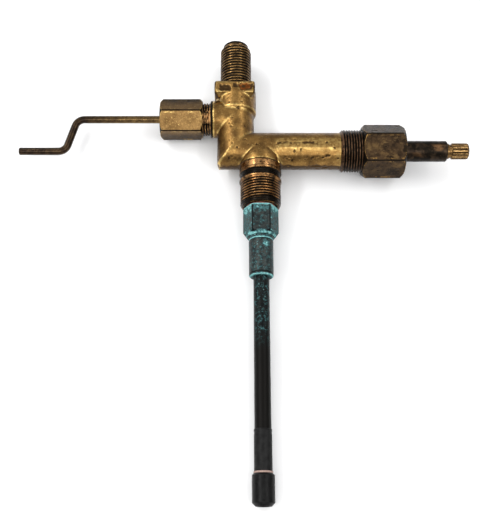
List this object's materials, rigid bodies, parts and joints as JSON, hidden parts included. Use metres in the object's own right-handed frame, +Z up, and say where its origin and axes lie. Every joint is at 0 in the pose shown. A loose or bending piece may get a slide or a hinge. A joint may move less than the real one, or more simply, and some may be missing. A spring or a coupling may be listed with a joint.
{
  "type": "toilet fill valve",
  "caption": "Old brass toilet fill valve with threaded inlet, packed bent crank rod, splined regulating stem in a hexagon bonnet nut, threaded outlet shank and long down tube.",
  "frame": {"origin": "on the inlet axis at the shoulder where the inlet thread starts", "axes": "+Y out of the inlet, +X out along the regulating stem, +Z up from the table that the valve lies on; all pipe axes lie in Z = 0"},
  "size_m": [0.2385, 0.2471, 0.0282],
  "materials": {
    "cast_brass": "cast and partly turned brass, satin, golden brown, pitted and stained",
    "turned_brass": "turned brass, satin",
    "gland_brass": "machined hexagon brass, satin, darker on two faces",
    "dark_brass": "oxidised dark brown brass with worn golden edges",
    "rod_bronze": "dark bronze rod, golden near the gland",
    "stem_bronze": "dark brown stem with a bright brass spline",
    "patina_brass": "brass under dark grey and teal verdigris",
    "tube_patina": "black tube with teal verdigris towards its upper end",
    "sleeve_black": "black, matt",
    "tip_black": "black, semi-gloss",
    "washer_rubber": "black rubber",
    "packing_graphite": "graphited plaited packing",
    "gasket_fibre": "red vulcanised fibre",
    "tip_washer_fibre": "pale fibre"
  },
  "bodies": {
    "valve": {"valve_body": "cast_brass", "fill_seat": "turned_brass", "rod_bushing": "turned_brass", "rod_packing": "packing_graphite", "gland_follower": "turned_brass", "gland_nut": "gland_brass", "valve_seat": "turned_brass", "friction_ring": "turned_brass", "stem_packing": "packing_graphite", "packing_washer": "turned_brass", "bonnet_nut": "dark_brass", "adapter_gasket": "gasket_fibre", "outlet_adapter": "patina_brass", "outlet_tube": "tube_patina", "tube_sleeve": "sleeve_black", "tip_washer": "tip_washer_fibre", "outlet_tip": "tip_black"},
    "crank": {"crank_rod": "rod_bronze", "crank_cam": "turned_brass"},
    "poppet": {"fill_poppet": "turned_brass", "poppet_washer": "washer_rubber"},
    "seat_disc": {"washer_holder": "turned_brass", "seat_washer": "washer_rubber", "washer_screw": "turned_brass"},
    "stem": {"stem": "stem_bronze"}
  },
  "joints": [
    {"name": "crank_turn", "type": "hinge", "parent": "valve", "child": "crank", "pos_m": [-0.02, -0.0183, 0], "axis": [-1, 0, 0], "range_deg": [0, 45]},
    {"name": "poppet_lift", "type": "slide", "parent": "valve", "child": "poppet", "axis": [0, 1, 0], "range_m": [0, 0.0019]},
    {"name": "stem_rise", "type": "slide", "parent": "valve", "child": "seat_disc", "axis": [1, 0, 0], "range_m": [0, 0.004]},
    {"name": "stem_turn", "type": "hinge", "parent": "seat_disc", "child": "stem", "pos_m": [0.06, -0.0377, 0], "axis": [1, 0, 0], "range_deg": [0, 722]}
  ],
  "couplings": [
    {"joint": "poppet_lift", "follows": "crank_turn", "m_per_rad": 0.00235},
    {"joint": "stem_turn", "follows": "stem_rise", "rad_per_m": 3141.6}
  ]
}
